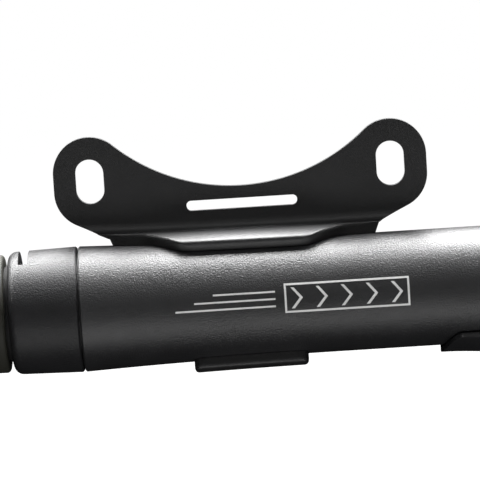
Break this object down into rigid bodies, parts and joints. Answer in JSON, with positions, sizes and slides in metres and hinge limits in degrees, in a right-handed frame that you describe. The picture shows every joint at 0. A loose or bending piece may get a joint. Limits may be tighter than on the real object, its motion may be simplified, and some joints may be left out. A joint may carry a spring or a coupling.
{
  "type": "bicycle mini pump with frame bracket",
  "caption": "Short hand pump with a ribbed pull handle, folding thumb lever and valve port, held by the clip of a flat frame bracket with slotted ears.",
  "frame": {"origin": "middle of the bracket's flat back face, the face that lies on the bicycle frame, between the strap slot and the curved top edge", "axes": "+X along the barrel towards the head, +Y out of the bracket's back face towards the bicycle frame, +Z from the barrel towards the bolt slots"},
  "size_m": [0.1951, 0.0286, 0.0527],
  "materials": {
    "bracket": "smooth satin black moulding",
    "barrel": "fine-grained matt black moulding",
    "head": "fine-grained matt black moulding",
    "lever": "satin black moulding",
    "grip": "smooth soft-touch dark olive grey",
    "end_cap": "satin black moulding",
    "inner_plastic": "natural acetal, smooth",
    "seals": "soft black rubber",
    "rod": "drawn and lightly polished",
    "steel": "plain turned steel",
    "brass": "turned brass"
  },
  "bodies": {
    "bracket": {"frame_bracket": "bracket"},
    "pump": {"barrel": "barrel", "collar": "barrel", "rod_guide": "inner_plastic", "rod_wiper": "seals", "bumper_ring": "seals", "barrel_o_ring": "seals", "head_body": "head", "valve_seat": "brass", "check_spring": "steel", "port_nut": "head", "valve_gasket": "seals", "slip_ring": "steel", "lever_pin": "steel"},
    "plunger_rod": {"piston_rod": "rod", "piston_body": "inner_plastic", "piston_cup": "seals", "piston_washer": "steel", "piston_screw": "steel", "handle_washer": "steel", "handle_screw": "steel"},
    "handle": {"handle_core": "head", "lock_lug": "steel", "grip_sleeve": "grip", "handle_end_cap": "end_cap"},
    "lever": {"thumb_lever": "lever"},
    "gasket_press": {"gasket_plunger": "inner_plastic", "plunger_o_ring": "seals"},
    "valve_poppet": {"check_valve": "seals"}
  },
  "joints": [
    {"name": "pump_turn", "type": "hinge", "parent": "bracket", "child": "pump", "pos_m": [0, -0.0045, -0.02267], "axis": [1, 0, 0], "continuous": true},
    {"name": "pump_stroke", "type": "slide", "parent": "pump", "child": "plunger_rod", "axis": [-1, 0, 0], "range_m": [0, 0.079]},
    {"name": "handle_twist", "type": "hinge", "parent": "plunger_rod", "child": "handle", "pos_m": [0, -0.0045, -0.02267], "axis": [1, 0, 0], "range_deg": [0, 80]},
    {"name": "lever_swing", "type": "hinge", "parent": "pump", "child": "lever", "pos_m": [0.08, -0.0045, -0.03266], "axis": [0, -1, 0], "range_deg": [0, 85]},
    {"name": "gasket_squeeze", "type": "slide", "parent": "pump", "child": "gasket_press", "axis": [0, 0, 1], "range_m": [0, 0.00151], "deforming": ["valve_gasket"]},
    {"name": "valve_lift", "type": "slide", "parent": "pump", "child": "valve_poppet", "axis": [1, 0, 0], "range_m": [0, 0.0008], "stiffness_N_per_m": 60, "springref_m": -0.0005, "deforming": ["check_spring"]}
  ],
  "couplings": [
    {"joint": "gasket_squeeze", "follows": "lever_swing", "m_per_rad": 0.0010111}
  ]
}
